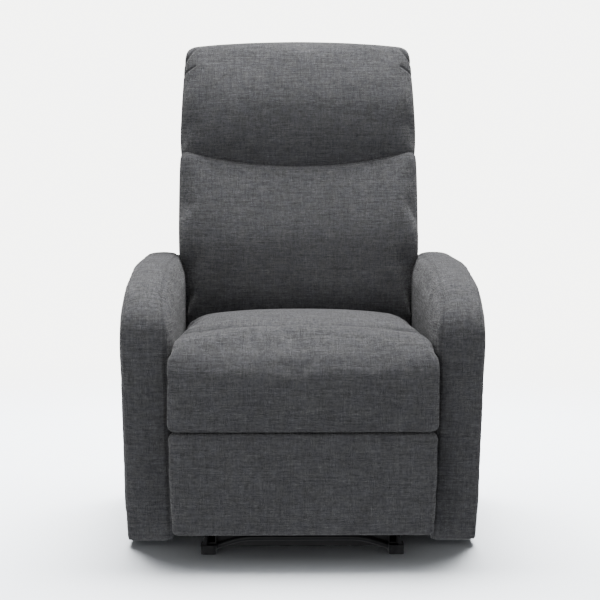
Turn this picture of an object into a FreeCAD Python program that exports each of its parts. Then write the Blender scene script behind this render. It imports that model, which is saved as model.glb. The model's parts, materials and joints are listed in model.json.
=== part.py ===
import FreeCAD, Part
import math
import os

from FreeCAD import Placement, Rotation, Vector

# Push-back recliner armchair.  X points right, Y to the rear, Z up.  The origin is on the floor
# under the middle of the chair; the front of the chair faces -Y.  All sizes are millimetres.

SIZES = {
    # seat and back
    "seat_half_width": 253.6,
    "seat_front": -440.0,
    "seat_seam": -287.0,
    "seat_top": 443.0,
    "deck_height": 335.3,
    "roll_bottom": 258.0,
    "lip_thickness": 45.0,
    "back_half_width": 254.0,
    "head_half_width": 262.0,
    "back_lean": 17.0,
    "back_pivot_back": 200.0,
    "back_pivot_up": 300.0,
    "back_front": -135.0,
    "back_rear": 29.0,
    "back_top": 748.0,
    "lumbar_bottom": 66.0,
    "lumbar_top": 426.0,
    # footrest
    "footrest_half_width": 256.0,
    "footrest_front": -434.0,
    "footrest_bottom": 52.0,
    "footrest_top": 250.0,
    "footrest_pad": 36.0,
    "footrest_board": 12.0,
    # arms, as distances from the middle plane
    "arm_inner": 256.0,
    "arm_frame_inner": 268.0,
    "arm_frame_outer": 326.0,
    "arm_outer": 345.0,
    "arm_cover": 3.5,
    "arm_bottom": 18.0,
    "arm_front": -412.0,
    "arm_toe": -275.0,
    "arm_top": 552.0,
    "arm_rear": 300.0,
    # layers of the mechanism, as distances from the middle plane
    "bracket_inner": 210.0,
    "bracket_outer": 213.0,
    "control_inner": 215.5,
    "control_outer": 218.5,
    "outer_link_inner": 220.0,
    "outer_link_outer": 223.0,
    "link_inner": 224.5,
    "link_outer": 227.5,
    "plate_inner": 229.0,
    "plate_outer": 232.0,
    "rail_outer": 253.0,
    # linkage
    "link_length": 205.0,
    "link_start": -100.0,
    "coupler_gap": 80.0,
    "coupler_angle": 8.0,
    "control_offset": 42.0,
    "link_radius": 11.0,
    "pin_radius": 4.0,
    "running_gap": 0.05,
    "open_gap": 0.3,
    # base
    "rail_inner": 170.0,
    "rail_width": 18.0,
    "rail_bottom": 18.0,
    "rail_front": -325.0,
    "rail_rear": 300.0,
    "rail_wall": 2.0,
    "tilt_back": 200.0,
    "tilt_up": 110.0,
    "tilt_front": -60.0,
    "tilt_front_up": 235.0,
    "tilt_angle": 5.0,
}

doc = FreeCAD.newDocument("recliner_armchair")
sheet = doc.addObject("Spreadsheet::Sheet", "Dimensions")
for row, (alias, size) in enumerate(SIZES.items(), start=1):
    sheet.set(f"A{row}", alias)
    sheet.set(f"B{row}", str(size))
    sheet.setAlias(f"B{row}", alias)
doc.recompute()

S = SIZES
NODES = []
SIDES = {"left": -1, "right": 1}
BACK_PIVOT = Vector(0, S["back_pivot_back"], S["back_pivot_up"])
LEANING = Placement(BACK_PIVOT, Rotation(Vector(1, 0, 0), -S["back_lean"]))


def cell(name):
    return f"Dimensions.{name}"


def keep(piece, label):
    """Give a finished sub-part its label and list it for export."""
    piece.Label = label
    NODES.append(piece)
    return piece


# ---------------------------------------------------------------- outlines

def rounded(corners):
    """Lines and tangent arcs of a closed outline whose corners are (y, z, radius)."""
    points = [Vector(y, z, 0) for y, z, _ in corners]
    arcs = []
    for i, (here, (_, _, radius)) in enumerate(zip(points, corners)):
        back = (points[i - 1] - here).normalize()
        ahead = (points[(i + 1) % len(points)] - here).normalize()
        turn = math.pi - back.getAngle(ahead)
        reach = radius * math.tan(turn / 2)
        middle = here + (back + ahead).normalize() * (radius / math.cos(turn / 2) - radius)
        arcs.append((here + back * reach, middle, here + ahead * reach))
    edges = []
    for i, (start, middle, end) in enumerate(arcs):
        edges.append(Part.Arc(start, middle, end))
        following = arcs[(i + 1) % len(arcs)][0]
        edges.append(Part.LineSegment(end, following))
    return edges


def drawn_in(corners, inset):
    """A convex outline's corners after every side has moved inwards by the inset."""
    points = [Vector(y, z, 0) for y, z, _ in corners]
    moved = []
    for i, (here, (_, _, radius)) in enumerate(zip(points, corners)):
        back = (points[i - 1] - here).normalize()
        ahead = (points[(i + 1) % len(points)] - here).normalize()
        inward = (back + ahead).normalize() * (inset / math.sin(back.getAngle(ahead) / 2))
        moved.append((here.x + inward.x, here.y + inward.y, max(4, radius - inset)))
    return moved


def around(centres, radius):
    """Outline of a flat link: arcs round its pivot centres, listed anticlockwise, joined by tangents."""
    edges = []
    for i, centre in enumerate(centres):
        before = (centre - centres[i - 1]).normalize()
        after = (centres[(i + 1) % len(centres)] - centre).normalize()
        out_before = Vector(before.y, -before.x, 0) * radius
        out_after = Vector(after.y, -after.x, 0) * radius
        middle = (before - after).normalize() * radius
        edges.append(Part.Arc(centre + out_before, centre + middle, centre + out_after))
        following = centres[(i + 1) % len(centres)]
        edges.append(Part.LineSegment(centre + out_after, following + out_after))
    return edges


def circle(centre, radius):
    return Part.Circle(Vector(centre.x, centre.y, 0), Vector(0, 0, 1), radius)


# ---------------------------------------------------------------- pieces

def sketch_on(body, role, offset, edges):
    """Sketch on one of the body's own origin planes, moved along its normal by an expression."""
    plane = next(item for item in body.Origin.OriginFeatures if item.Role == role)
    sketch = body.newObject("Sketcher::SketchObject", "Outline")
    sketch.AttachmentSupport = [(plane, "")]
    sketch.MapMode = "FlatFace"
    sketch.setExpression("AttachmentOffset.Base.z", offset)
    sketch.addGeometry(edges, False)
    return sketch


def slab(label, side, inner, outer, edges, holes=(), extra=None):
    """Piece with a side outline, padded from the inner to the outer distance from the middle plane.

    Side 0 pads right across the chair.  A hole is (centre, radius).  Extra is a second outline of
    the same body with its own inner and outer distances, such as a flange.
    """
    body = doc.addObject("PartDesign::Body", label)
    pads = [(inner, outer, edges, holes)]
    if extra:
        pads.append((*extra, ()))
    for low, high, outline, openings in pads:
        start = {-1: f"-({high})", 0: f"-({high})", 1: low}[side]
        length = f"2 * ({high})" if side == 0 else f"({high}) - ({low})"
        sketch = sketch_on(body, "YZ_Plane", start, list(outline))
        sketch.addGeometry([circle(centre, radius) for centre, radius in openings], False)
        pad = body.newObject("PartDesign::Pad", "Pad")
        pad.Profile = sketch
        pad.setExpression("Length", length)
        sketch.Visibility = False
    return keep(body, label)


def beam(label, x, y, z, place=None):
    """Rectangular bar between two expressions along each axis."""
    bar = doc.addObject("Part::Box", label)
    for size, (low, high) in zip(("Length", "Width", "Height"), (x, y, z)):
        bar.setExpression(size, f"({high}) - ({low})")
    if place is None:
        for axis, (low, _) in zip("xyz", (x, y, z)):
            bar.setExpression(f"Placement.Base.{axis}", low)
    else:
        doc.recompute()
        corner = [bar.evalExpression(low) for low, _ in (x, y, z)]
        bar.Placement = place.multiply(Placement(Vector(*corner), Rotation()))
    return keep(bar, label)


def feature(label, shape, place=None):
    piece = doc.addObject("Part::Feature", label)
    piece.Shape = shape
    if place is not None:
        piece.Placement = place
    return keep(piece, label)


def across(side, low, high):
    """Expressions for the span between two distances from the middle plane."""
    if side < 0:
        return f"-({high})", f"-({low})"
    return low, high


def stud(side, low, high, point, radius):
    """Round bar parallel to X between two distances from the middle plane."""
    start = side * low if side > 0 else -high
    return Part.makeCylinder(radius, high - low, Vector(start, point.x, point.y), Vector(1, 0, 0))


def wire_tube(points, radius, bend):
    """Round bar along straight runs joined by tangent arcs of one bend radius."""
    edges = []
    last = points[0]
    for before, corner, after in zip(points, points[1:], points[2:]):
        back = (before - corner).normalize()
        ahead = (after - corner).normalize()
        turn = math.pi - back.getAngle(ahead)
        reach = bend * math.tan(turn / 2)
        middle = corner + (back + ahead).normalize() * (bend / math.cos(turn / 2) - bend)
        if (corner + back * reach).distanceToPoint(last) > 1e-6:
            edges.append(Part.LineSegment(last, corner + back * reach).toShape())
        edges.append(Part.Arc(corner + back * reach, middle, corner + ahead * reach).toShape())
        last = corner + ahead * reach
    edges.append(Part.LineSegment(last, points[-1]).toShape())
    path = Part.Wire(edges)
    section = Part.Wire(Part.makeCircle(radius, points[0], (points[1] - points[0]).normalize()))
    tube = path.makePipeShell([section], True, False)
    expected = math.pi * radius ** 2 * path.Length
    if abs(tube.Volume - expected) > 0.02 * expected:
        raise RuntimeError("a bent bar has the wrong volume")
    return tube


# ---------------------------------------------------------------- linkage points (y, z)

def turned(distance, degrees):
    """Step in the side plane; 0 degrees points forward and 90 degrees up."""
    angle = math.radians(degrees)
    return Vector(-distance * math.cos(angle), distance * math.sin(angle), 0)


REST_KNEE = Vector(-366, 198, 0)
SEAT_PIVOT = Vector(-248.4, 239, 0)
ANKLE = SEAT_PIVOT + turned(S["link_length"], S["link_start"])
COUPLER = turned(S["coupler_gap"], S["coupler_angle"])
FRONT_PIVOT = SEAT_PIVOT + COUPLER
FRONT_ANKLE = ANKLE + COUPLER
OFFSET = turned(S["control_offset"], S["link_start"] + 180)
CONTROL_LOW = ANKLE + OFFSET
CONTROL_HIGH = REST_KNEE + OFFSET
TILT_PIVOT = Vector(S["tilt_back"], S["tilt_up"], 0)
TILT_PIN = Vector(S["tilt_front"], S["tilt_front_up"], 0)
BACK_HINGE = Vector(S["back_pivot_back"], S["back_pivot_up"], 0)

HOLE = S["pin_radius"] + S["running_gap"]
OPEN_HOLE = S["pin_radius"] + S["open_gap"]
HEAD_RADIUS = 8.0
HEAD_THICKNESS = 2.2
HEAD_GAP = 0.25


def pin(side, root, tip, point, head_at=None):
    """Pivot pin from its root to its tip, with a round head past head_at on the inner side."""
    shape = stud(side, tip, root, point, S["pin_radius"])
    if head_at is not None:
        head = stud(side, head_at - HEAD_THICKNESS, head_at, point, HEAD_RADIUS)
        shape = shape.fuse(head).removeSplitter()
    return shape


def pair(make):
    return Part.makeCompound([make(side) for side in SIDES.values()])


# ---------------------------------------------------------------- base

def tilt_slot():
    """Curved slot round the tilt pivot, along which the front pin travels."""
    arm = TILT_PIN - TILT_PIVOT
    middle_radius = arm.Length
    start = math.atan2(arm.y, arm.x)
    sweep = math.radians(S["tilt_angle"])
    half = S["pin_radius"] + S["open_gap"]

    def at(radius, angle):
        return TILT_PIVOT + Vector(radius * math.cos(angle), radius * math.sin(angle), 0)

    finish = start - sweep
    halfway = start - sweep / 2
    inner, outer = middle_radius - half, middle_radius + half
    cap = half / middle_radius
    return [
        Part.Arc(at(inner, finish), at(inner, halfway), at(inner, start)),
        Part.Arc(at(inner, start), at(middle_radius, start + cap), at(outer, start)),
        Part.Arc(at(outer, start), at(outer, halfway), at(outer, finish)),
        Part.Arc(at(outer, finish), at(middle_radius, finish - cap), at(inner, finish)),
    ]


def glide(side, low):
    """Moulded foot under a rail end, with a tapered clip up the outer side of the rail."""
    length, width, corner = 45.0, 30.0, 7.0
    rail_side = S["rail_inner"] + S["rail_width"]
    middle = S["rail_inner"] + width / 2 - 0.5
    top = S["rail_bottom"]
    block = Part.makeBox(width, length, top, Vector(side * middle - width / 2, low, 0))
    upright = [edge for edge in block.Edges if abs(edge.Vertexes[0].Z - edge.Vertexes[1].Z) > 1]
    foot = block.makeFillet(corner, upright)
    profile = [(rail_side, top), (rail_side + 9, top), (rail_side + 4, top + 16), (rail_side, top + 16),
               (rail_side, top)]
    clip = Part.Face(Part.makePolygon([Vector(side * x, low + 8, z) for x, z in profile]))
    return foot.fuse(clip.extrude(Vector(0, length - 16, 0))).removeSplitter()


def make_base():
    beam("base_front_bar", (f"-{cell('rail_inner')}", cell("rail_inner")),
         ("Dimensions.rail_front + 24", "Dimensions.rail_front + 46"),
         ("Dimensions.rail_bottom - 10", "Dimensions.rail_bottom + 12"))
    beam("base_rear_bar", (f"-{cell('rail_inner')}", cell("rail_inner")),
         ("Dimensions.rail_rear - 38", "Dimensions.rail_rear - 16"),
         (cell("rail_bottom"), "Dimensions.rail_bottom + 12"))

    rail_top = S["rail_bottom"] + S["rail_width"]
    flange_thickness = 3.0
    plate = rounded([(-100, rail_top, 4), (228, rail_top, 4), (228, 132, 22), (168, 132, 22), (120, 66, 30),
                     (10, 66, 30), (-24, 280, 16), (-86, 280, 16)])
    flange = rounded([(-96, rail_top, 0.5), (224, rail_top, 0.5), (224, rail_top + flange_thickness, 0.5),
                      (-96, rail_top + flange_thickness, 0.5)])
    for name, side in SIDES.items():
        outside = doc.addObject("Part::Box", f"rail_outside_{name}")
        inside = doc.addObject("Part::Box", f"rail_inside_{name}")
        low, _ = across(side, cell("rail_inner"), "Dimensions.rail_inner + Dimensions.rail_width")
        for box, inset, past in ((outside, "0", "0"), (inside, cell("rail_wall"), "1")):
            box.setExpression("Length", f"Dimensions.rail_width - 2 * {inset}")
            box.setExpression("Height", f"Dimensions.rail_width - 2 * {inset}")
            box.setExpression("Width", f"Dimensions.rail_rear - Dimensions.rail_front + 2 * {past}")
            box.setExpression("Placement.Base.x", f"{low} + {inset}")
            box.setExpression("Placement.Base.y", f"Dimensions.rail_front - {past}")
            box.setExpression("Placement.Base.z", f"Dimensions.rail_bottom + {inset}")
        rail = doc.addObject("Part::Cut", f"base_rail_{name}")
        rail.Base = outside
        rail.Tool = inside
        keep(rail, f"base_rail_{name}")
        slab(f"base_bracket_{name}", side, cell("bracket_inner"), cell("bracket_outer"),
             plate + tilt_slot(), [(TILT_PIVOT, HOLE)],
             extra=("Dimensions.rail_inner + 4", "Dimensions.bracket_outer - 1", flange))

    tube_y = S["rail_front"] + 11
    tube_radius = 6.0
    low, high = 8.0, 27.0
    foot_side = S["rail_inner"] - 0.5
    arch = [Vector(-178, tube_y, low), Vector(-118, tube_y, high), Vector(118, tube_y, high),
            Vector(178, tube_y, low)]
    between = Part.makeBox(2 * foot_side, 30, 60, Vector(-foot_side, tube_y - 15, 0))
    feature("base_front_tube", wire_tube(arch, tube_radius, 150).common(between))
    feature("floor_glides", Part.makeCompound([
        glide(side, low) for side in SIDES.values() for low in (S["rail_front"] - 22, S["rail_rear"] - 42)]))


# ---------------------------------------------------------------- seat frame and cushions

def sinuous(x, low, high, height, turns, reach, radius):
    """Zig-zag spring wire lying flat along Y."""
    pitch = (high - low) / turns
    points = [Vector(x, low, height)]
    for turn in range(turns):
        sign = 1 if turn % 2 else -1
        points.append(Vector(x + sign * reach, low + (turn + 0.5) * pitch - 0.28 * pitch, height))
        points.append(Vector(x + sign * reach, low + (turn + 0.5) * pitch + 0.28 * pitch, height))
    points.append(Vector(x, high, height))
    return wire_tube(points, radius, 0.2 * pitch)


def make_seat():
    deck = S["deck_height"]
    plate = rounded([(-346, 333, 8), (-346, 234, 12), (-262, 218, 30), (-95, 212, 30), (120, 212, 30),
                     (178, 88, 16), (220, 88, 16), (220, 326, 14), (180, 333, 14)])
    plate_holes = [(point, S["pin_radius"]) for point in
                   (SEAT_PIVOT, FRONT_PIVOT, TILT_PIVOT, TILT_PIN, BACK_HINGE)]
    for name, side in SIDES.items():
        slab(f"mech_plate_{name}", side, cell("plate_inner"), cell("plate_outer"), plate, plate_holes)
        beam(f"seat_rail_{name}", across(side, cell("plate_outer"), cell("rail_outer")),
             ("-388", "150"), ("272", "334"))
    inside = ("-Dimensions.plate_inner", cell("plate_inner"))
    beam("seat_rail_front", inside, ("-388", "-347"), ("319", "334"))
    beam("seat_rail_rear", inside, ("52", "74"), ("296", "334"))

    springs = [sinuous(x, -345, 54, 329, 11, 22, 1.7) for x in (-164, -82, 0, 82, 164)]
    springs = [spring.cut(Part.makeBox(460, 60, 12, Vector(-230, -400, 322))) for spring in springs]
    springs = [spring.cut(Part.makeBox(460, 60, 40, Vector(-230, 51.5, 295))) for spring in springs]
    feature("seat_springs", Part.makeCompound([spring.Solids[0] for spring in springs]))
    beam("seat_deck", inside, ("-346", "51"), ("331.2", "334.8"))
    beam("rear_panel", ("-Dimensions.arm_inner", cell("arm_inner")), ("278", "290"), ("50", "292"))

    slab("seat_cushion", 0, "0", cell("seat_half_width"),
         rounded([(S["seat_seam"] + 0.5, deck, 5), (S["seat_seam"] + 0.5, S["seat_top"], 16),
                  (-100, S["seat_top"] + 6, 400), (95, S["seat_top"] - 4, 24), (64, deck, 6)]))
    lip = S["seat_front"] + S["lip_thickness"]
    slab("seat_roll", 0, "0", cell("seat_half_width"),
         rounded([(S["seat_front"], S["roll_bottom"], 18), (S["seat_front"], S["seat_top"], 48),
                  (S["seat_seam"], S["seat_top"], 14), (S["seat_seam"], deck, 4), (lip, deck, 3),
                  (lip, S["roll_bottom"], 12)]))

    def pivot_pins(side):
        root = S["plate_outer"]
        return Part.makeCompound([
            pin(side, root, S["link_inner"] + 0.3, SEAT_PIVOT),
            pin(side, root, S["link_inner"] - HEAD_GAP, FRONT_PIVOT, S["link_inner"] - HEAD_GAP),
            pin(side, root, S["bracket_inner"] - HEAD_GAP, TILT_PIVOT, S["bracket_inner"] - HEAD_GAP),
            pin(side, root, S["bracket_inner"] - HEAD_GAP, TILT_PIN, S["bracket_inner"] - HEAD_GAP),
            pin(side, root, 220.0, BACK_HINGE, 220.0),
        ])

    feature("pivot_pins", pair(pivot_pins))


# ---------------------------------------------------------------- arms

def arm_corners():
    """Side outline of an arm: level on top, rolling over forwards, then sloping back to the toe."""
    front, top, rear, bottom = S["arm_front"], S["arm_top"], S["arm_rear"], S["arm_bottom"]
    return [(S["arm_toe"], bottom, 12), (front + 50, 235, 300), (front, 450, 90),
            (front + 87, top - 32, 130), (-90, top, 500), (rear, top, 45), (rear, bottom, 24)]


def make_arms():
    ribbon = 15.0
    frame_in = ribbon + 1
    post, sill, room = 42.0, 40.0, 4.0
    bottom = S["arm_bottom"] + frame_in + 5
    post_front = S["arm_rear"] - frame_in - post - room
    post_back = S["arm_rear"] - frame_in - room
    for name, side in SIDES.items():
        cover = cell("arm_cover")
        slab(f"arm_inner_cover_{name}", side, cell("arm_inner"), f"Dimensions.arm_inner + {cover}",
             rounded(arm_corners()))
        slab(f"arm_outer_cover_{name}", side, f"Dimensions.arm_outer - {cover}", cell("arm_outer"),
             rounded(arm_corners()))
        slab(f"arm_ribbon_{name}", side, f"Dimensions.arm_inner + {cover}",
             f"Dimensions.arm_outer - {cover}",
             rounded(arm_corners()) + rounded(drawn_in(arm_corners(), ribbon)))
        frame = (cell("arm_frame_inner"), cell("arm_frame_outer"))
        slab(f"arm_front_post_{name}", side, *frame,
             rounded([(-260, bottom, 3), (-224, bottom, 3), (-300, 476, 24), (-338, 442, 22),
                      (-364, 370, 90)]))
        beam(f"arm_rear_post_{name}", across(side, *frame), (str(post_front), str(post_back)),
             (str(bottom), "498"))
        slab(f"arm_top_rail_{name}", side, *frame,
             rounded([(-300, 484, 4), (-205, 484, 4), (282, 500, 4), (282, 528, 22), (-60, 526, 300),
                      (-240, 508, 30)]))
        beam(f"arm_sill_{name}", across(side, *frame), ("-222", str(post_front - 1)),
             (str(bottom), str(bottom + sill)))


# ---------------------------------------------------------------- backrest, in its leaning frame

def make_back():
    front, rear, top = S["back_front"], S["back_rear"], S["back_top"]
    frame_front, frame_rear = -30.0, rear - 7
    half = cell("back_half_width")
    bracket = rounded([(-24, -14, 12), (16, -14, 12), (22, 230, 10), (-22, 230, 10)])
    for name, side in SIDES.items():
        slab(f"back_bracket_{name}", side, "225.5", "228.5", bracket,
             [(Vector(0, 0, 0), HOLE)]).Placement = LEANING
        beam(f"back_post_{name}", across(side, "197", "225.3"),
             (str(frame_front), str(frame_rear)), ("48", "700"), LEANING)
    span = ("-196.8", "196.8")
    depth = (str(frame_front), str(frame_rear))
    beam("back_rail_top", span, depth, ("652", "700"), LEANING)
    beam("back_rail_low", span, depth, ("60", "108"), LEANING)

    springs = []
    for x in (-120, -40, 40, 120):
        wire = sinuous(x, 111, 649, 0, 13, 20, 1.6)
        wire.rotate(Vector(0, 0, 0), Vector(1, 0, 0), 90)
        springs.append(wire)
    feature("back_springs", Part.makeCompound(springs), LEANING)

    slab("lumbar_cushion", 0, "0", half,
         rounded([(front + 18, S["lumbar_bottom"], 30), (-31, S["lumbar_bottom"], 5),
                  (-31, S["lumbar_top"], 5), (front + 6, S["lumbar_top"], 34),
                  (front - 8, 250, 300)])).Placement = LEANING
    slab("head_cushion", 0, "0", cell("head_half_width"),
         rounded([(front - 4, S["lumbar_top"] + 1, 40), (-31, S["lumbar_top"] + 1, 5), (-31, 702, 3),
                  (rear, 702, 5), (rear, top, 26), (front + 30, top - 6, 46),
                  (front - 14, 600, 200)])).Placement = LEANING
    outside = doc.addObject("Part::Box", "back_shell_outside")
    inside = doc.addObject("Part::Box", "back_shell_inside")
    wall = 4.0
    for box, inset, low, high in ((outside, 0, 20.0, 701.0), (inside, wall, 19.0, 702.0)):
        box.setExpression("Length", f"2 * ({half} - {inset})")
        box.setExpression("Width", f"Dimensions.back_rear - ({frame_front}) - {inset}")
        box.Height = high - low
        box.Placement = LEANING.multiply(
            Placement(Vector(-(S["back_half_width"] - inset), frame_front, low), Rotation()))
    shell = doc.addObject("Part::Cut", "back_shell")
    shell.Base = outside
    shell.Tool = inside
    keep(shell, "back_shell")


# ---------------------------------------------------------------- footrest and its linkage

def make_linkage():
    radius = S["link_radius"]
    for name, side in SIDES.items():
        layer = (side, cell("link_inner"), cell("link_outer"))
        slab(f"rear_link_{name}", *layer, around([SEAT_PIVOT, ANKLE], radius),
             [(SEAT_PIVOT, HOLE), (ANKLE, S["pin_radius"]), (CONTROL_LOW, S["pin_radius"])])
        slab(f"front_link_{name}", *layer, around([FRONT_PIVOT, FRONT_ANKLE], radius),
             [(FRONT_PIVOT, HOLE), (FRONT_ANKLE, OPEN_HOLE)])
        slab(f"outer_link_{name}", side, cell("outer_link_inner"), cell("outer_link_outer"),
             around([ANKLE, REST_KNEE, FRONT_ANKLE], radius),
             [(ANKLE, HOLE), (REST_KNEE, HOLE), (FRONT_ANKLE, S["pin_radius"])])
        slab(f"control_link_{name}", side, cell("control_inner"), cell("control_outer"),
             around([CONTROL_LOW, CONTROL_HIGH], radius - 1),
             [(CONTROL_LOW, HOLE), (CONTROL_HIGH, OPEN_HOLE)])
    tube = stud(1, -S["link_inner"], S["link_inner"], SEAT_PIVOT, 9)
    feature("torque_tube", tube.cut(stud(1, -S["link_inner"], S["link_inner"], SEAT_PIVOT, 6.5)))

    def rear_pins(side):
        return Part.makeCompound([
            pin(side, S["link_outer"], S["outer_link_inner"] - HEAD_GAP, ANKLE,
                S["outer_link_inner"] - HEAD_GAP),
            pin(side, S["link_outer"], S["control_inner"] - HEAD_GAP, CONTROL_LOW,
                S["control_inner"] - HEAD_GAP)])

    feature("rear_link_pins", pair(rear_pins))
    feature("outer_link_pins", pair(lambda side: pin(
        side, S["link_outer"] - 0.2, S["outer_link_inner"], FRONT_ANKLE, S["outer_link_inner"])))


def make_footrest():
    front = S["footrest_front"]
    pad_back = front + S["footrest_pad"]
    board_back = pad_back + S["footrest_board"]
    low, high = S["footrest_bottom"], S["footrest_top"]
    slab("footrest_cushion", 0, "0", cell("footrest_half_width"),
         rounded([(front, low, 16), (pad_back, low, 4), (pad_back, high, 4), (front, high, 16)]))
    beam("footrest_board", ("-248", "248"), (str(pad_back), str(board_back)),
         (str(low + 6), str(high - 4)))
    edge = board_back
    web = rounded([(edge, 100, 2), (REST_KNEE.x + 11, 150, 14), (REST_KNEE.x + 11, high - 2, 9),
                   (edge, high - 2, 2)])
    flange = rounded([(edge, 100, 1), (edge + 3, 100, 1), (edge + 3, high - 6, 1), (edge, high - 6, 1)])
    for name, side in SIDES.items():
        slab(f"footrest_bracket_{name}", side, cell("link_inner"), cell("link_outer"), web,
             [(REST_KNEE, S["pin_radius"]), (CONTROL_HIGH, S["pin_radius"])],
             extra=("Dimensions.link_outer - 1", "248", flange))

    def footrest_pins(side):
        return Part.makeCompound([
            pin(side, S["link_outer"], S["outer_link_inner"] - HEAD_GAP, REST_KNEE,
                S["outer_link_inner"] - HEAD_GAP),
            pin(side, S["link_outer"], S["control_inner"] - HEAD_GAP, CONTROL_HIGH,
                S["control_inner"] - HEAD_GAP)])

    feature("footrest_pins", pair(footrest_pins))


def write_parts():
    doc.recompute()
    for item in doc.Objects:
        if "Invalid" in item.State or "Error" in item.State:
            raise RuntimeError(f"{item.Label} is {item.State}")
    os.makedirs("parts", exist_ok=True)
    for piece in NODES:
        shape = piece.Shape
        if shape.isNull() or not shape.isValid() or not shape.Solids:
            raise RuntimeError(f"{piece.Label} has no valid shape")
        shape.exportStep(f"parts/{piece.Label}.step")
    box = FreeCAD.BoundBox()
    for piece in NODES:
        box.add(piece.Shape.BoundBox)
    print(f"{len(NODES)} sub-parts, X {box.XMin:.1f} {box.XMax:.1f}, Y {box.YMin:.1f} {box.YMax:.1f}, "
          f"Z {box.ZMin:.1f} {box.ZMax:.1f}")


make_base()
make_seat()
make_arms()
make_back()
make_linkage()
make_footrest()
write_parts()
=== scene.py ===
import json
import math

import bmesh
import bpy
import numpy as np
from mathutils import Matrix, Vector


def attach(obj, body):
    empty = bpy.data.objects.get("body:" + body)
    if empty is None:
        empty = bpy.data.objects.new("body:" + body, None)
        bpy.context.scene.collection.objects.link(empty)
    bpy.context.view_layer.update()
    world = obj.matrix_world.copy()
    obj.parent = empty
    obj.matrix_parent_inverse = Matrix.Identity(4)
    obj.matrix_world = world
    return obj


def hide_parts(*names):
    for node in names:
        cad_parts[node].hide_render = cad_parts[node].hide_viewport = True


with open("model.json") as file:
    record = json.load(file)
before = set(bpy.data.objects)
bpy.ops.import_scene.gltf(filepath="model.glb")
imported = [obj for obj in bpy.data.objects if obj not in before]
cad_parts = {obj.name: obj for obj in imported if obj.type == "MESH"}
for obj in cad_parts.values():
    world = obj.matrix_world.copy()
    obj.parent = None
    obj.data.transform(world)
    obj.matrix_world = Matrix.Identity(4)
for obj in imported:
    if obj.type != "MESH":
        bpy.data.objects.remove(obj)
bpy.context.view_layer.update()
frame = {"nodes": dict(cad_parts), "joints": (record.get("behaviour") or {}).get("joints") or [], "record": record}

# Recliner armchair.  Metres, X right, Y to the rear, Z up; the chair faces -Y.

SIDES = {"left": -1.0, "right": 1.0}
HINGE = next(Vector(j["pos_m"]) for j in frame["joints"] if j["name"] == "back_recline")
LEAN = math.radians(17)
LEANING = Matrix.Translation(HINGE) @ Matrix.Rotation(-LEAN, 4, "X")
VOXEL = 0.0055              # grain of the cushions' meshes
ARC_STEP = 0.02             # radians between the points of an outline's arc
SIM_FRAMES = 20             # by then the cushions have swelled enough
CALM_PASSES = 60
HALF_PAD = 0.25             # about half the width of a cushion
SIDE_POWER = 2.2            # how late a padded surface falls away towards its sides
BETWEEN_ARMS = 0.2555       # half the room that a cushion has between the arms
OFF_SEAM = 0.1              # added to a distance, it keeps a vertex out of a seam


# ---------------------------------------------------------------- camera, floor and light

def make_camera():
    data = bpy.data.cameras.new("camera")
    data.lens = 106.9
    data.sensor_width = 36
    camera = bpy.data.objects.new("camera", data)
    camera.location = (-0.057, -3.786, 0.800)
    camera.rotation_euler = (math.radians(90 - 4.96), 0, math.radians(-0.865))
    bpy.context.collection.objects.link(camera)
    bpy.context.scene.camera = camera


def make_light(name, place, target, size, power):
    """Rectangular soft light; size is in metres and power in watts."""
    data = bpy.data.lights.new(name, "AREA")
    data.shape = "RECTANGLE"
    data.size, data.size_y = size
    data.energy = power
    lamp = bpy.data.objects.new(name, data)
    lamp.location = place
    lamp.rotation_euler = (Vector(target) - Vector(place)).to_track_quat("-Z", "Y").to_euler()
    bpy.context.collection.objects.link(lamp)
    return lamp


def make_surround():
    """White for the camera, and a softer glow for the object that is dimmer from below."""
    world = bpy.data.worlds.new("studio")
    bpy.context.scene.world = world
    world.use_nodes = True
    tree = world.node_tree
    backdrop = tree.nodes["Background"]
    backdrop.inputs["Color"].default_value = (1.0, 1.0, 0.975, 1)
    backdrop.inputs["Strength"].default_value = 6.0
    glow = tree.nodes.new("ShaderNodeBackground")
    glow.inputs["Strength"].default_value = 0.60
    direction = tree.nodes.new("ShaderNodeTexCoord")
    height = tree.nodes.new("ShaderNodeSeparateXYZ")
    tree.links.new(direction.outputs["Generated"], height.inputs[0])
    shade = tree.nodes.new("ShaderNodeValToRGB")
    shade.color_ramp.elements[0].position = 0.0
    shade.color_ramp.elements[0].color = (0.72, 0.74, 0.77, 1)
    shade.color_ramp.elements[1].position = 0.06
    shade.color_ramp.elements[1].color = (1, 1, 1, 1)
    tree.links.new(height.outputs["Z"], shade.inputs["Fac"])
    tree.links.new(shade.outputs["Color"], glow.inputs["Color"])
    seen = tree.nodes.new("ShaderNodeLightPath")
    either = tree.nodes.new("ShaderNodeMixShader")
    tree.links.new(seen.outputs["Is Camera Ray"], either.inputs["Fac"])
    tree.links.new(glow.outputs[0], either.inputs[1])
    tree.links.new(backdrop.outputs[0], either.inputs[2])
    tree.links.new(either.outputs[0], tree.nodes["World Output"].inputs["Surface"])


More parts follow.
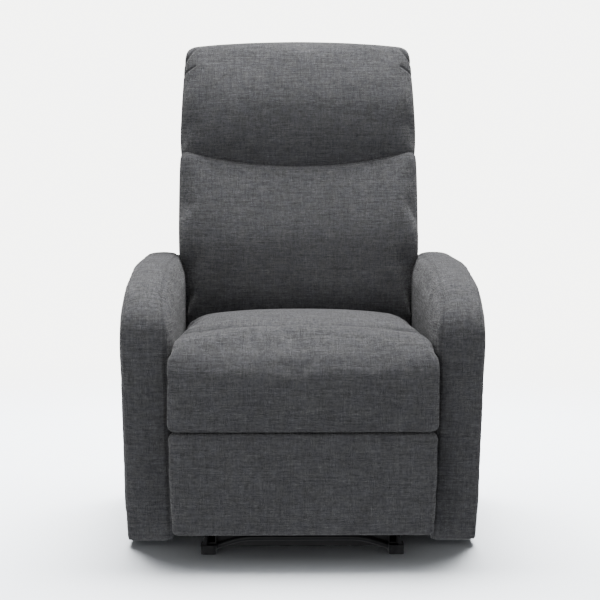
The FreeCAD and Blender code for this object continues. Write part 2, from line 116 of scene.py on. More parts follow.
def make_studio():
    """Soft light from above, a weak fill, and a pale floor that fades into the surround."""
    make_surround()
    make_light("key", (0.30, 0.75, 4.6), (0, 0, 0.4), size=(1.8, 2.6), power=372)
    make_light("fill", (-1.2, -4.0, 0.45), (0, 0, 0.2), size=(2.2, 0.8), power=36)

    reach = 3.4
    mesh = bpy.data.meshes.new("floor")
    mesh.from_pydata([(-reach, -reach, 0), (reach, -reach, 0), (reach, reach, 0), (-reach, reach, 0)],
                     [], [(0, 1, 2, 3)])
    floor = bpy.data.objects.new("floor", mesh)
    bpy.context.collection.objects.link(floor)
    floor.visible_diffuse = False
    floor.visible_glossy = False
    graph = Graph("studio_floor")
    vector, *_ = graph.place()
    away = graph.add("ShaderNodeVectorMath", {0: vector}, operation="LENGTH").outputs["Value"]
    fade = graph.add("ShaderNodeMapRange", {"Value": away, "From Min": 1.2, "From Max": 3.2},
                     interpolation_type="SMOOTHERSTEP").outputs[0]
    matt = graph.add("ShaderNodeBsdfDiffuse", {"Color": (0.355, 0.370, 0.388, 1)})
    clear = graph.add("ShaderNodeBsdfTransparent")
    blend = graph.add("ShaderNodeMixShader", {0: fade, 1: matt.outputs[0], 2: clear.outputs[0]})
    graph.add("ShaderNodeOutputMaterial", {"Surface": blend.outputs[0]})
    mesh.materials.append(graph.material)

    lit = bpy.data.collections.new("lit_floor")
    lit.objects.link(floor)
    wash = make_light("floor_wash", (0, 1.5, 3.8), (0, 0, 0), size=(3.4, 3.0), power=2900)
    wash.light_linking.receiver_collection = lit


# ---------------------------------------------------------------- materials

class Graph:
    """A material's node tree, built by short calls."""

    def __init__(self, name):
        self.material = bpy.data.materials.new(name)
        self.material.use_nodes = True
        self.tree = self.material.node_tree
        self.tree.nodes.clear()

    def add(self, kind, inputs=None, **settings):
        """New node; inputs are values or other nodes' outputs, settings are its own properties."""
        node = self.tree.nodes.new(kind)
        for key, value in settings.items():
            setattr(node, key, value)
        for key, value in (inputs or {}).items():
            self.plug(node.inputs[key], value)
        return node

    def plug(self, socket, value):
        if isinstance(value, bpy.types.NodeSocket):
            self.tree.links.new(value, socket)
        else:
            socket.default_value = value

    def math(self, operation, *values):
        node = self.add("ShaderNodeMath", dict(enumerate(values)), operation=operation)
        return node.outputs[0]

    def mix(self, factor, first, second):
        """Blend of two numbers."""
        node = self.add("ShaderNodeMix", {"Factor": factor, "A": first, "B": second})
        return node.outputs["Result"]

    def tint(self, factor, first, second, blend="MIX"):
        """Blend of two colours."""
        node = self.add("ShaderNodeMix", data_type="RGBA", blend_type=blend)
        self.plug(node.inputs[0], factor)
        self.plug(node.inputs[6], first)
        self.plug(node.inputs[7], second)
        return node.outputs[2]

    def noise(self, vector, scale, detail=2.0, roughness=0.5):
        node = self.add("ShaderNodeTexNoise", {"Vector": vector, "Scale": scale, "Detail": detail,
                                               "Roughness": roughness})
        return node.outputs["Fac"]

    def ramp(self, factor, *stops):
        """Colour ramp; a stop is (position, (red, green, blue))."""
        node = self.add("ShaderNodeValToRGB", {"Fac": factor})
        points = node.color_ramp.elements
        while len(points) < len(stops):
            points.new(0.5)
        for point, (position, colour) in zip(points, stops):
            point.position = position
            point.color = (*colour, 1)
        return node.outputs["Color"]

    def combine(self, x, y, z):
        return self.add("ShaderNodeCombineXYZ", {"X": x, "Y": y, "Z": z}).outputs[0]

    def place(self):
        """Position in the piece's own space, and its X, Y and Z."""
        vector = self.add("ShaderNodeTexCoord").outputs["Object"]
        split = self.add("ShaderNodeSeparateXYZ", {"Vector": vector})
        return vector, split.outputs["X"], split.outputs["Y"], split.outputs["Z"]

    def shader(self, height, depth, strength, **inputs):
        """Principled surface with a bump of the given depth in metres."""
        surface = self.add("ShaderNodeBsdfPrincipled")
        names = {"Colour": "Base Color", "Sheen": "Sheen Weight", "SheenRoughness": "Sheen Roughness",
                 "Specular": "Specular IOR Level"}
        for key, value in inputs.items():
            self.plug(surface.inputs[names.get(key, key)], value)
        bump = self.add("ShaderNodeBump", {"Strength": strength, "Distance": depth, "Height": height})
        self.plug(surface.inputs["Normal"], bump.outputs[0])
        self.add("ShaderNodeOutputMaterial", {"Surface": surface.outputs[0]})


def make_upholstery():
    """Heathered plain weave: each yarn has its own greys, which drift slowly along it.

    The cloth is laid across the nearest of the three main planes, and pale yarns carry more fuzz.
    """
    graph = Graph("heathered_weave")
    vector, x, y, z = graph.place()
    geometry = graph.add("ShaderNodeNewGeometry")
    facing = graph.add("ShaderNodeVectorTransform", {"Vector": geometry.outputs["Normal"]},
                       vector_type="NORMAL", convert_from="WORLD", convert_to="OBJECT").outputs[0]
    split = graph.add("ShaderNodeSeparateXYZ", {"Vector": facing})
    across, along, upward = (graph.math("ABSOLUTE", split.outputs[axis]) for axis in "XYZ")
    sideways = graph.math("GREATER_THAN", across, graph.math("MAXIMUM", along, upward))
    level = graph.math("GREATER_THAN", upward, along)
    drift = graph.math("MULTIPLY", graph.noise(vector, 70.0, 1.0), 0.0022)
    warp_place = graph.math("ADD", graph.mix(sideways, x, y), drift)
    weft_place = graph.math("ADD", graph.mix(sideways, graph.mix(level, z, y), z), drift)

    pitch = 0.0020
    warp = graph.math("DIVIDE", warp_place, pitch)
    weft = graph.math("DIVIDE", weft_place, pitch)
    warp_yarn, weft_yarn = graph.math("FLOOR", warp), graph.math("FLOOR", weft)
    over = graph.math("PINGPONG", graph.math("ADD", warp_yarn, weft_yarn), 1.0)
    warp_round = graph.math("SINE", graph.math("MULTIPLY", graph.math("FRACT", warp), math.pi))
    weft_round = graph.math("SINE", graph.math("MULTIPLY", graph.math("FRACT", weft), math.pi))

    yarn_step, warp_slub, weft_slub = 3.71, 0.23, 0.19
    warp_shade = graph.noise(graph.combine(graph.math("MULTIPLY", warp_yarn, yarn_step),
                                           graph.math("MULTIPLY", weft, warp_slub), 1.3), 1.0, 2.0)
    weft_shade = graph.noise(graph.combine(graph.math("MULTIPLY", warp, weft_slub),
                                           graph.math("MULTIPLY", weft_yarn, yarn_step), 7.1), 1.0, 2.0)
    long_step, long_slub = 5.3, 0.045
    warp_line = graph.noise(graph.combine(graph.math("MULTIPLY", warp_yarn, long_step),
                                          graph.math("MULTIPLY", weft, long_slub), 9.2), 1.0, 1.0)
    weft_line = graph.noise(graph.combine(graph.math("MULTIPLY", warp, long_slub),
                                          graph.math("MULTIPLY", weft_yarn, long_step), 3.3), 1.0, 1.0)
    fleck = graph.noise(vector, 520.0, 2.0, 0.7)
    shade = graph.mix(graph.mix(over, 0.2, 0.95), warp_shade, weft_shade)
    parts = ((shade, 0.50), (fleck, 0.14), (warp_line, 0.14), (weft_line, 0.22))
    shade = 0.0
    for part, weight in parts:
        shade = graph.math("MULTIPLY_ADD", part, weight, shade)
    colour = graph.ramp(shade, (0.30, (0.032, 0.032, 0.034)), (0.46, (0.073, 0.073, 0.077)),
                        (0.58, (0.110, 0.111, 0.116)), (0.74, (0.200, 0.201, 0.208)))
    hue = graph.ramp(graph.noise(vector, 60.0, 2.0),
                     (0.35, (0.97, 0.975, 1.04)), (0.65, (1.02, 1.02, 0.985)))
    colour = graph.tint(0.5, colour, hue, "MULTIPLY")
    for scale, detail, low, high in ((9.0, 3.0, 0.93, 1.06), (240.0, 2.0, 0.90, 1.09)):
        cloud = graph.ramp(graph.noise(vector, scale, detail), (0.3, (low,) * 3), (0.7, (high,) * 3))
        colour = graph.tint(1.0, colour, cloud, "MULTIPLY")
    # Painted shade: along seams and tuck folds, where the seam mark lies, the colour is darkened towards black,
    # more strongly in stitch-length dashes.
    seam = graph.add("ShaderNodeAttribute", attribute_name="seam").outputs["Fac"]
    stitch_pitch = 0.0045
    along_seam = graph.math("ADD", graph.math("ADD", x, y), z)
    stitched_shade = graph.math("SINE", graph.math("MULTIPLY", along_seam, 2 * math.pi / stitch_pitch))
    stitched_shade = graph.mix(graph.math("GREATER_THAN", stitched_shade, 0.0), 0.40, 0.65)
    colour = graph.tint(graph.math("MULTIPLY", seam, stitched_shade), colour, (0.010, 0.010, 0.011, 1))

    yarn = graph.mix(over, graph.math("MULTIPLY", warp_round, graph.mix(0.35, 1.0, weft_round)),
                     graph.math("MULTIPLY", weft_round, graph.mix(0.35, 1.0, warp_round)))
    height = graph.math("ADD", yarn, graph.math("MULTIPLY", fleck, 0.9))
    height = graph.math("ADD", height, graph.math("MULTIPLY", shade, 0.8))
    roughness = graph.math("ADD", 0.78, graph.math("MULTIPLY", fleck, 0.3))
    fuzz_gain, fuzz_base, least_fuzz = 1.8, -0.70, 0.03
    fuzz = graph.math("MAXIMUM", graph.math("MULTIPLY_ADD", shade, fuzz_gain, fuzz_base), least_fuzz)
    graph.shader(height, depth=0.0007, strength=0.75, Colour=colour, Roughness=roughness, Sheen=fuzz,
                 SheenRoughness=0.45, Specular=0.22)
    return graph.material


def make_lining():
    """Spun-bonded black cloth with its pressed dots."""
    graph = Graph("black_lining")
    vector, *_ = graph.place()
    dots = graph.add("ShaderNodeTexVoronoi", {"Vector": vector, "Scale": 620.0}).outputs["Distance"]
    fibres = graph.noise(vector, 900.0, 3.0, 0.7)
    pattern = graph.math("ADD", graph.math("MULTIPLY", dots, 0.6), graph.math("MULTIPLY", fibres, 0.5))
    colour = graph.ramp(pattern, (0.3, (0.008, 0.008, 0.009)), (0.8, (0.035, 0.035, 0.037)))
    graph.shader(dots, depth=0.0003, strength=0.6, Colour=colour, Specular=0.2,
                 Roughness=graph.math("ADD", 0.7, graph.math("MULTIPLY", fibres, 0.25)))
    return graph.material


def make_steel():
    """Satin black powder coat with orange peel and a little rubbing."""
    graph = Graph("black_powder_coat")
    vector, *_ = graph.place()
    peel = graph.noise(vector, 700.0, 2.0)
    rub = graph.noise(vector, 24.0, 5.0, 0.65)
    colour = graph.ramp(rub, (0.35, (0.005, 0.005, 0.006)), (0.62, (0.010, 0.010, 0.011)),
                        (0.78, (0.034, 0.034, 0.036)))
    roughness = graph.math("ADD", 0.30, graph.math("MULTIPLY", rub, 0.28))
    graph.shader(peel, depth=0.00025, strength=0.5, Colour=colour, Roughness=roughness, Specular=0.22)
    return graph.material


def make_bright_metal(name, low, high, rough):
    """Plated or oiled steel: cloudy plating with fine scratches."""
    graph = Graph(name)
    vector, x, y, z = graph.place()
    cloud = graph.noise(vector, 60.0, 4.0, 0.6)
    drawn = graph.combine(graph.math("MULTIPLY", x, 40.0), graph.math("MULTIPLY", y, 900.0),
                          graph.math("MULTIPLY", z, 900.0))
    scratches = graph.noise(drawn, 1.0, 2.0)
    colour = graph.ramp(cloud, (0.3, low), (0.7, high))
    graph.shader(scratches, depth=0.0001, strength=0.4, Colour=colour, Metallic=1.0,
                 Roughness=graph.math("ADD", rough, graph.math("MULTIPLY", cloud, 0.25)))
    return graph.material


def make_wood(name, dark, pale, ring_scale):
    """Sawn wood or plywood: growth rings drawn out along the piece, with pores."""
    graph = Graph(name)
    _, x, y, z = graph.place()
    drawn = graph.combine(graph.math("MULTIPLY", x, 4.0), y, graph.math("MULTIPLY", z, 3.0))
    rings = graph.add("ShaderNodeTexWave", {"Vector": drawn, "Scale": ring_scale, "Distortion": 6.0,
                                            "Detail": 3.0, "Detail Scale": 1.4}).outputs["Fac"]
    fine = graph.combine(graph.math("MULTIPLY", x, 500.0), graph.math("MULTIPLY", y, 60.0),
                         graph.math("MULTIPLY", z, 500.0))
    pores = graph.noise(fine, 1.0, 3.0)
    ringed = graph.ramp(rings, (0.2, pale), (0.85, dark))
    colour = graph.tint(graph.math("MULTIPLY", pores, 0.35), ringed, (*dark, 1))
    graph.shader(graph.math("ADD", rings, pores), depth=0.0004, strength=0.5, Colour=colour,
                 Roughness=graph.math("ADD", 0.55, graph.math("MULTIPLY", pores, 0.3)), Specular=0.3)
    return graph.material


def make_plastic():
    """Moulded black plastic with a fine spark-eroded grain."""
    graph = Graph("moulded_plastic")
    vector, *_ = graph.place()
    grain = graph.noise(vector, 1600.0, 2.0)
    scuffs = graph.noise(vector, 45.0, 5.0, 0.7)
    colour = graph.ramp(scuffs, (0.4, (0.006, 0.006, 0.007)), (0.75, (0.024, 0.024, 0.025)))
    graph.shader(grain, depth=0.00015, strength=0.5, Colour=colour, Specular=0.15,
                 Roughness=graph.math("ADD", 0.42, graph.math("MULTIPLY", scuffs, 0.3)))
    return graph.material


MATERIALS = {
    "upholstery": make_upholstery(),
    "lining": make_lining(),
    "black_steel": make_steel(),
    "zinc": make_bright_metal("zinc_plate", (0.38, 0.39, 0.40), (0.62, 0.62, 0.60), 0.22),
    "spring_steel": make_bright_metal("oiled_spring_wire", (0.10, 0.10, 0.11), (0.22, 0.21, 0.20),
                                      0.30),
    "wood": make_wood("sawn_pine", (0.30, 0.17, 0.08), (0.58, 0.42, 0.25), 26.0),
    "plywood": make_wood("poplar_plywood", (0.27, 0.18, 0.10), (0.50, 0.37, 0.23), 11.0),
    "black_plastic": make_plastic(),
}


# ---------------------------------------------------------------- outlines and closed blocks

def outline(corners, step):
    """Evenly spaced points round a closed outline of (y, z, radius) corners, and outward normals."""
    path = []
    points = [np.array(corner[:2], float) for corner in corners]
    for i, (here, corner) in enumerate(zip(points, corners)):
        radius = corner[2]
        back = points[i - 1] - here
        ahead = points[(i + 1) % len(points)] - here
        back, ahead = back / np.linalg.norm(back), ahead / np.linalg.norm(ahead)
        turn = math.pi - math.acos(np.clip(back @ ahead, -1, 1))
        reach = radius * math.tan(turn / 2)
        bisector = (back + ahead) / np.linalg.norm(back + ahead)
        centre = here + bisector * radius / math.cos(turn / 2)
        start, end = here + back * reach - centre, here + ahead * reach - centre
        for part in np.linspace(0, 1, max(2, int(turn / ARC_STEP))):
            arm = start * (1 - part) + end * part
            path.append(centre + arm / np.linalg.norm(arm) * radius)
    path = np.array(path + path[:1])
    lengths = np.concatenate([[0], np.cumsum(np.linalg.norm(np.diff(path, axis=0), axis=1))])
    count = max(12, int(lengths[-1] / step))
    even = np.linspace(0, lengths[-1], count, endpoint=False)
    ring = np.stack([np.interp(even, lengths, path[:, k]) for k in (0, 1)], axis=1)
    tangent = np.roll(ring, -1, axis=0) - np.roll(ring, 1, axis=0)
    normals = np.stack([tangent[:, 1], -tangent[:, 0]], axis=1)
    normals /= np.linalg.norm(normals, axis=1)[:, None]
    area = np.sum(ring[:, 0] * np.roll(ring[:, 1], -1) - np.roll(ring[:, 0], -1) * ring[:, 1])
    return ring, normals if area > 0 else -normals


def block(name, corners, low, high, rounding, step=0.009, crown=None):
    """Closed block with a side outline, from X = low to X = high, its two end edges rounded.

    crown(x, ring, inset) gives how far each point of the outline lies further in at a station,
    where inset is the plain rounding there.
    """
    ring, normals = outline(corners, step)
    turns = np.radians(np.arange(90, -1, -15))
    ends = [(rounding * (1 - math.sin(turn)), rounding * (1 - math.cos(turn))) for turn in turns]
    middle = np.arange(low + rounding, high - rounding, 0.02)[1:]
    stations = [(low + gap, inset) for gap, inset in ends]
    stations += [(x, 0.0) for x in middle]
    stations += [(high - gap, inset) for gap, inset in reversed(ends)]
    verts = []
    for x, inset in stations:
        further = 0.0 if crown is None else crown(x, ring, inset)[:, None]
        moved = ring - normals * (inset + further)
        verts += [(x, y, z) for y, z in moved]
    count = len(ring)
    faces = [tuple(range(count))]
    for row in range(len(stations) - 1):
        for i in range(count):
            following = (i + 1) % count
            faces.append((row * count + i, (row + 1) * count + i,
                          (row + 1) * count + following, row * count + following))
    faces.append(tuple((len(stations) - 1) * count + i for i in reversed(range(count))))
    mesh = bpy.data.meshes.new(name)
    mesh.from_pydata(verts, [], faces)
    shape = bmesh.new()
    shape.from_mesh(mesh)
    bmesh.ops.recalc_face_normals(shape, faces=shape.faces)
    shape.to_mesh(mesh)
    shape.free()
    piece = bpy.data.objects.new(name, mesh)
    bpy.context.collection.objects.link(piece)
    return piece


def coords(piece):
    flat = np.empty(len(piece.data.vertices) * 3)
    piece.data.vertices.foreach_get("co", flat)
    return flat.reshape(-1, 3)


def set_coords(piece, points):
    piece.data.vertices.foreach_set("co", np.ascontiguousarray(points, dtype=float).ravel())
    piece.data.update()


def normals_of(piece):
    flat = np.empty(len(piece.data.vertices) * 3)
    piece.data.vertex_normals.foreach_get("vector", flat)
    return flat.reshape(-1, 3)


def bake_modifiers(piece):
    """Replace the mesh by what its modifiers make of it."""
    graph = bpy.context.evaluated_depsgraph_get()
    fresh = bpy.data.meshes.new_from_object(piece.evaluated_get(graph))
    piece.modifiers.clear()
    piece.data = fresh


def remesh(piece, voxel=VOXEL):
    """Turn a block into an even mesh, and smooth off the steps of its voxels."""
    modifier = piece.modifiers.new("Remesh", "REMESH")
    modifier.mode = "VOXEL"
    modifier.voxel_size = voxel
    bake_modifiers(piece)
    smooth = piece.modifiers.new("Smooth", "SMOOTH")
    smooth.iterations = 4
    smooth.factor = 0.5
    bake_modifiers(piece)


def inflate(jobs):
    """Swell closed blocks by cloth pressure, all in one run.

    A job is (piece, held, cap, pressure, slack): held marks vertices that stay, such as hidden
    backs and sewn edges, cap limits how far a point may move (one figure, or one per vertex),
    slack is how much too big the cover is for the foam.
    """
    scene = bpy.context.scene
    starts = []
    for piece, held, cap, pressure, slack in jobs:
        group = piece.vertex_groups.new(name="held")
        for index, weight in enumerate(held):
            if weight > 0.01:
                group.add([index], float(weight), "REPLACE")
        cloth = piece.modifiers.new("Cloth", "CLOTH")
        cloth.point_cache.frame_start = 1
        cloth.point_cache.frame_end = SIM_FRAMES
        settings = cloth.settings
        settings.quality = 4
        settings.mass = 0.3
        settings.tension_stiffness = settings.compression_stiffness = 12
        settings.shear_stiffness = 5
        settings.bending_stiffness = 1.2
        settings.use_pressure = True
        settings.uniform_pressure_force = pressure
        settings.effector_weights.gravity = 0
        settings.vertex_group_mass = "held"
        settings.shrink_min = -slack
        starts.append(coords(piece))
    scene.frame_start, scene.frame_end = 1, SIM_FRAMES
    for step in range(1, SIM_FRAMES + 1):
        scene.frame_set(step)
    graph = bpy.context.evaluated_depsgraph_get()
    moved = []
    for piece, *_ in jobs:
        evaluated = piece.evaluated_get(graph)
        flat = np.empty(len(evaluated.data.vertices) * 3)
        evaluated.data.vertices.foreach_get("co", flat)
        moved.append(flat.reshape(-1, 3))
    for (piece, _, cap, _, _), start, end in zip(jobs, starts, moved):
        piece.modifiers.clear()
        piece.vertex_groups.clear()
        shift = end - start
        length = np.linalg.norm(shift, axis=1)
        limited = cap * np.tanh(length / cap)
        set_coords(piece, start + shift * (limited / np.maximum(length, 1e-9))[:, None])
    scene.frame_set(1)


def refine(piece, passes=3, calm=None):
    """One subdivision, after a light relaxing of the simulated cloth.

    calm weighs the vertices that are relaxed much further, so that the face has no folds.
    """
    smooth = piece.modifiers.new("Smooth", "SMOOTH")
    smooth.iterations = passes
    smooth.factor = 0.5
    if calm is not None:
        group = piece.vertex_groups.new(name="calm")
        for index in np.nonzero(calm > 0.01)[0]:
            group.add([int(index)], float(calm[index]), "REPLACE")
        calmer = piece.modifiers.new("Calm", "SMOOTH")
        calmer.vertex_group = "calm"
        calmer.iterations = CALM_PASSES
        calmer.factor = 0.5
    finer = piece.modifiers.new("Subdivision", "SUBSURF")
    finer.levels = finer.render_levels = 1
    bake_modifiers(piece)


def groove(piece, distance, width, depth, shade=1.0):
    """Sink the surface along a seam, with painted shade there; distance is each vertex's distance from it."""
    weight = np.exp(-(distance / width) ** 2)
    set_coords(piece, coords(piece) - normals_of(piece) * (weight * depth)[:, None])
    darken(piece, distance, width, shade)


def darken(piece, distance, width, shade=1.0):
    """Mark the cloth along a seam, where its material shows shade and stitches."""
    weight = shade * np.exp(-(distance / width) ** 2)
    shade_mark = piece.data.attributes.get("seam")
    if shade_mark is None:
        shade_mark = piece.data.attributes.new("seam", "FLOAT", "POINT")
    values = np.empty(len(piece.data.vertices))
    shade_mark.data.foreach_get("value", values)
    shade_mark.data.foreach_set("value", np.maximum(values, weight))


def finish_piece(piece, material="upholstery"):
    """Dress a padded piece in its cloth, with smooth shading."""
    piece.data.materials.clear()
    piece.data.materials.append(MATERIALS[material])
    for polygon in piece.data.polygons:
        polygon.use_smooth = True


def smooth_step(value, low, high):
    """0 below low, 1 above high, and a smooth rise in between."""
    part = np.clip((value - low) / (high - low), 0, 1)
    return part * part * (3 - 2 * part)


# ---------------------------------------------------------------- cushions

def corners_in(points, scale=0.001):
    """Outline corners given in millimetres, in metres."""
    return [tuple(value * scale for value in point) for point in points]


def side_fall(points):
    """0 in the middle of the chair, rising to about 1 at a cushion's sides."""
    return (np.abs(points[:, 0]) / HALF_PAD) ** SIDE_POWER


def make_head():
    """Headrest pillow in the leaning frame: a boxy top over a bulging face."""
    piece = block("headrest", corners_in([(-110, 434, 30), (-30, 428, 6), (-30, 704, 3), (27, 704, 5),
                                          (27, 752, 18), (-100, 751, 34), (-136, 590, 170)]),
                  -0.266, 0.266, rounding=0.018)
    points = coords(piece)
    fall = side_fall(points)
    points[:, 0] *= 1 - 0.024 * smooth_step(points[:, 2], 0.48, 0.70)
    points[:, 2] -= 0.014 * smooth_step(points[:, 2], 0.60, 0.74) * fall
    set_coords(piece, points)
    remesh(piece)
    points = coords(piece)
    held = smooth_step(points[:, 1], -0.045, -0.034) * (points[:, 2] < 0.706)
    boxed = smooth_step(points[:, 2], 0.722, 0.732) * smooth_step(np.abs(points[:, 0]), 0.232, 0.245)
    return piece, np.maximum(held, 0.9 * boxed)


def make_lumbar():
    """Lumbar pillow; its upper edge tucks in under the headrest and its foot curls back."""
    piece = block("lumbar_pad", corners_in([(-88, 68, 40), (-31, 70, 6), (-31, 462, 5), (-120, 460, 30),
                                            (-137, 285, 240)]), -0.259, 0.259, rounding=0.022)
    points = coords(piece)
    points[:, 0] *= 1 + 0.030 * smooth_step(points[:, 2], 0.205, 0.250)
    set_coords(piece, points)
    remesh(piece)
    points = coords(piece)
    held = np.maximum(smooth_step(points[:, 1], -0.045, -0.034),
                      smooth_step(points[:, 2], 0.440, 0.465))
    return piece, held


def smile(piece):
    """Bend the line where headrest and lumbar pillow meet: low in the middle, high at the sides."""
    points = coords(piece)
    near = 1 - smooth_step(np.abs(points[:, 2] - 0.44), 0.03, 0.14)
    points[:, 2] += near * (0.034 * side_fall(points) - 0.014)
    set_coords(piece, points)


TUCKS = [((0.260, 0.690), (0.236, 0.722), 0.0034), ((0.260, 0.662), (0.234, 0.675), 0.0024)]


def add_tucks(piece):
    """Short folds at both upper corners of the headrest, as lines in X and Z with their widths."""
    points = coords(piece)
    flat = np.stack([np.abs(points[:, 0]), points[:, 2]], axis=1)
    for start, end, width in TUCKS:
        start, along = np.array(start), np.array(end) - np.array(start)
        part = np.clip(((flat - start) @ along) / (along @ along), 0, 1)
        distance = np.linalg.norm(flat - start - part[:, None] * along, axis=1)
        # each fold is sunk and given painted shade along its crease
        groove(piece, distance + OFF_SEAM * (points[:, 1] > -0.06), width, 1.1 * width)


SEAT_SEAM = -0.287


def make_seat():
    """Seat cushion and front roll in one cover, with a cross seam between them."""
    piece = block("seat_pad", corners_in([(-434, 254, 6), (-434, 441, 66), (-100, 438, 400),
                                          (130, 425, 16), (114, 337, 6), (-372, 337, 4),
                                          (-372, 254, 6)]), -0.251, 0.251, rounding=0.016)
    points = coords(piece)
    points[:, 0] *= 1 + 0.045 * (1 - smooth_step(points[:, 1], -0.416, -0.400))
    points[:, 2] -= 0.012 * side_fall(points) * smooth_step(points[:, 2], 0.34, 0.42)
    set_coords(piece, points)
    remesh(piece)
    points = coords(piece)
    under = (1 - smooth_step(points[:, 2], 0.345, 0.365)) * smooth_step(points[:, 1], -0.392, -0.380)
    lip = 1 - smooth_step(points[:, 2], 0.264, 0.276)
    sewn = smooth_step(-np.abs(points[:, 1] - SEAT_SEAM), -0.005, -0.002) * (points[:, 2] > 0.36)
    cap = 0.007 + 0.015 * smooth_step(points[:, 2], 0.395, 0.440)
    return piece, np.maximum.reduce([under, sewn * 0.9, lip]), cap


def make_footrest():
    """Footrest pad and board in one cover, a little narrower at the foot."""
    piece = block("footrest_pad", corners_in([(-428, 53, 9), (-385, 54, 5), (-385, 251, 5),
                                              (-428, 252, 6)]), -0.2585, 0.2585, rounding=0.010)
    points = coords(piece)
    points[:, 0] *= 1 - 0.024 * (1 - smooth_step(points[:, 2], 0.05, 0.20))
    set_coords(piece, points)
    remesh(piece, voxel=0.005)
    points = coords(piece)
    edge = np.maximum(1 - smooth_step(points[:, 2], 0.060, 0.070),
                      smooth_step(points[:, 2], 0.238, 0.247))
    return piece, np.maximum(smooth_step(points[:, 1], -0.400, -0.392), 0.7 * edge)


def make_back_cover():
    """Rear cover of the backrest, in the leaning frame; only its rear swells."""
    piece = block("back_cover", corners_in([(-38, 22, 6), (25, 22, 12), (25, 718, 6), (-38, 718, 6)]),
                  -0.2535, 0.2535, rounding=0.014)
    remesh(piece, voxel=0.006)
    points = coords(piece)
    return piece, np.maximum(1 - smooth_step(points[:, 1], -0.030, 0.004),
                             1 - smooth_step(points[:, 2], 0.024, 0.032))


def squeeze(piece, room):
    """Press the sides in so that no point is further out than room allows; room is per vertex."""
    points = coords(piece)
    soft = 0.010
    out = np.abs(points[:, 0])
    over = out - (room - soft)
    eased = np.where(over > 0, room - soft + soft * np.tanh(over / soft), out)
    points[:, 0] = np.sign(points[:, 0]) * eased
    set_coords(piece, points)


def sew_seat(piece):
    """Fit the seat between the arms, all but its front, and sink its cross seam."""
    points = coords(piece)
    squeeze(piece, BETWEEN_ARMS + 0.0085 * (1 - smooth_step(points[:, 1], -0.420, -0.404)))
    from_seam = points[:, 1] - SEAT_SEAM
    below = OFF_SEAM * (points[:, 2] < 0.36)
    groove(piece, np.abs(from_seam) + below, width=0.0140, depth=0.0050, shade=0.0)
    # painted shade in the narrow groove and in a thin line just behind the seam
    groove(piece, np.abs(from_seam) + below, width=0.0050, depth=0.0050)
    darken(piece, np.abs(from_seam - 0.004) + below, width=0.0035)


def fit_back_pads(head, lumbar):
    """Fit the lumbar pillow between the arms, and shape both pillows where they meet."""
    squeeze(lumbar, BETWEEN_ARMS + 0.0145 * smooth_step(coords(lumbar)[:, 2], 0.205, 0.250))
    squeeze(head, 0.2700 - 0.008 * smooth_step(coords(head)[:, 2], 0.48, 0.70))
    for piece in (head, lumbar):
        smile(piece)
    add_tucks(head)


# ---------------------------------------------------------------- arms

ARM_IN, ARM_OUT = 0.2568, 0.3490
ARM_MIDDLE = (ARM_IN + ARM_OUT) / 2
SEAM_IN, SEAM_OUT = 0.2640, 0.3420
ARM_OUTLINE = corners_in([(-276, 10, 8), (-366, 235, 900), (-413, 455, 74), (-338, 530, 190),
                          (-90, 561, 600), (299, 559, 45), (299, 19, 10)])


def arm_crown(x, ring, inset):
    """The ribbon is highest along its middle, drops most towards the seat, and is crisp at its foot."""
    off_middle = (abs(x) - ARM_MIDDLE) / (ARM_OUT - ARM_MIDDLE)
    drop = 0.006 if off_middle < 0 else 0.004
    on_top = smooth_step(ring[:, 1], 0.42, 0.53)
    at_foot = 1 - smooth_step(ring[:, 1], 0.035, 0.060)
    return ((0.002 + drop * on_top) * abs(off_middle) ** SIDE_POWER * (1 - at_foot)
            - 0.8 * inset * at_foot)


def edge_distance(points):
    """How far each point's Y and Z lie inside the arm's side outline."""
    ring, _ = outline(ARM_OUTLINE, 0.004)
    flat = points[:, 1:]
    best = np.full(len(flat), np.inf)
    batch = 4000
    for start in range(0, len(flat), batch):
        chunk = flat[start:start + batch]
        best[start:start + batch] = np.sqrt(((chunk[:, None] - ring[None]) ** 2).sum(2).min(1))
    return best


def seam_distances(points):
    """Distances from the ribbon's inner seam, further out on top, and from its outer seam."""
    from_middle = np.abs(points[:, 0])
    inner = SEAM_IN + 0.010 * smooth_step(points[:, 2], 0.40, 0.53)
    return np.abs(from_middle - inner), np.abs(from_middle - SEAM_OUT)


def make_arm(name, side):
    """One arm, with its two covers and the ribbon round its front and top as one closed skin."""
    low, high = (ARM_IN, ARM_OUT) if side > 0 else (-ARM_OUT, -ARM_IN)
    piece = block(f"arm_{name}", ARM_OUTLINE, low, high, rounding=0.009, crown=arm_crown)
    remesh(piece, voxel=0.0062)
    points = coords(piece)
    at_seam = np.minimum(*seam_distances(points))
    held = 0.9 * smooth_step(-at_seam, -0.006, -0.002) * (edge_distance(points) < 0.022)
    held = np.maximum(held, 1 - smooth_step(points[:, 2], 0.03, 0.06))
    return piece, held


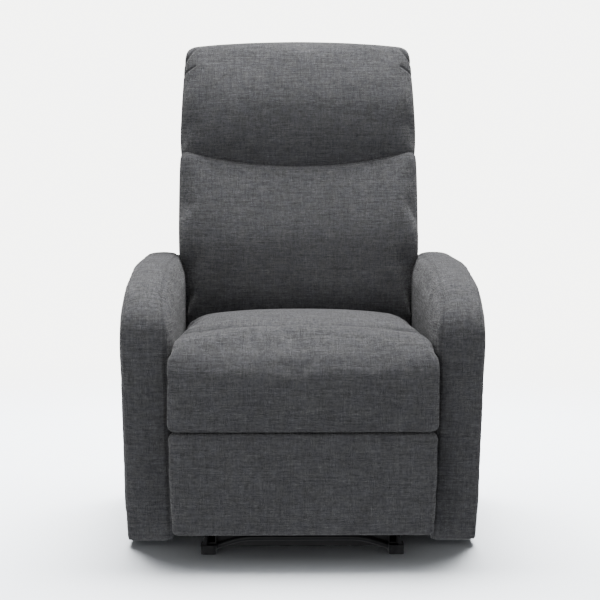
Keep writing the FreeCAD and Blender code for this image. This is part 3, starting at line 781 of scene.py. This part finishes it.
def sew_arm(piece):
    """The two long seams of the ribbon, sunk, with painted shade along them, weak along the outer one."""
    points = coords(piece)
    off_ribbon = OFF_SEAM * (edge_distance(points) > 0.024)
    inner, outer = seam_distances(points)
    groove(piece, inner + off_ribbon, width=0.0028, depth=0.0024, shade=0.6)
    groove(piece, outer + off_ribbon, width=0.0030, depth=0.0012, shade=0.15)


# ---------------------------------------------------------------- assembly

def build_soft_pieces():
    """Swell, sew and dress the padded pieces, and say what each replaces and rides on."""
    head, head_held = make_head()
    lumbar, lumbar_held = make_lumbar()
    seat, seat_held, seat_cap = make_seat()
    footrest, footrest_held = make_footrest()
    cover, cover_held = make_back_cover()
    arms = {name: make_arm(name, side) for name, side in SIDES.items()}
    jobs = [(head, head_held, 0.022, 4.0, 0.0), (lumbar, lumbar_held, 0.022, 4.0, 0.005),
            (seat, seat_held, seat_cap, 4.0, 0.01), (footrest, footrest_held, 0.008, 3.0, 0.01),
            (cover, cover_held, 0.006, 2.0, 0.01)]
    jobs += [(piece, held, 0.006, 2.0, 0.005) for piece, held in arms.values()]
    inflate(jobs)
    for piece, *_ in jobs:
        face = smooth_step(-coords(piece)[:, 1], 0.055, 0.085) if piece == head else None
        refine(piece, 12 if piece in (head, lumbar) else 3, face)
    sew_seat(seat)
    fit_back_pads(head, lumbar)
    for piece, _ in arms.values():
        sew_arm(piece)
    for piece, *_ in jobs:
        finish_piece(piece)
    for piece in (head, lumbar, cover):
        piece.data.transform(LEANING)
        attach(piece, "backrest")
    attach(seat, "seat")
    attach(footrest, "footrest")
    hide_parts("head_cushion")
    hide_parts("lumbar_cushion")
    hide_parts("seat_cushion", "seat_roll")
    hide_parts("footrest_cushion", "footrest_board")
    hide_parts("back_shell")
    for name, (piece, _) in arms.items():
        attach(piece, "seat")
        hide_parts(f"arm_ribbon_{name}", f"arm_inner_cover_{name}", f"arm_outer_cover_{name}")


def dress_nodes():
    """Give every shown CAD node the material of its slot."""
    slots = {part["node"]: part["material_slot"] for part in frame["record"]["subparts"]}
    for node, piece in frame["nodes"].items():
        material = MATERIALS[slots[node]]
        if not piece.material_slots:
            piece.data.materials.append(material)
        for place in piece.material_slots:
            place.material = material


make_camera()
make_studio()
dress_nodes()
build_soft_pieces()
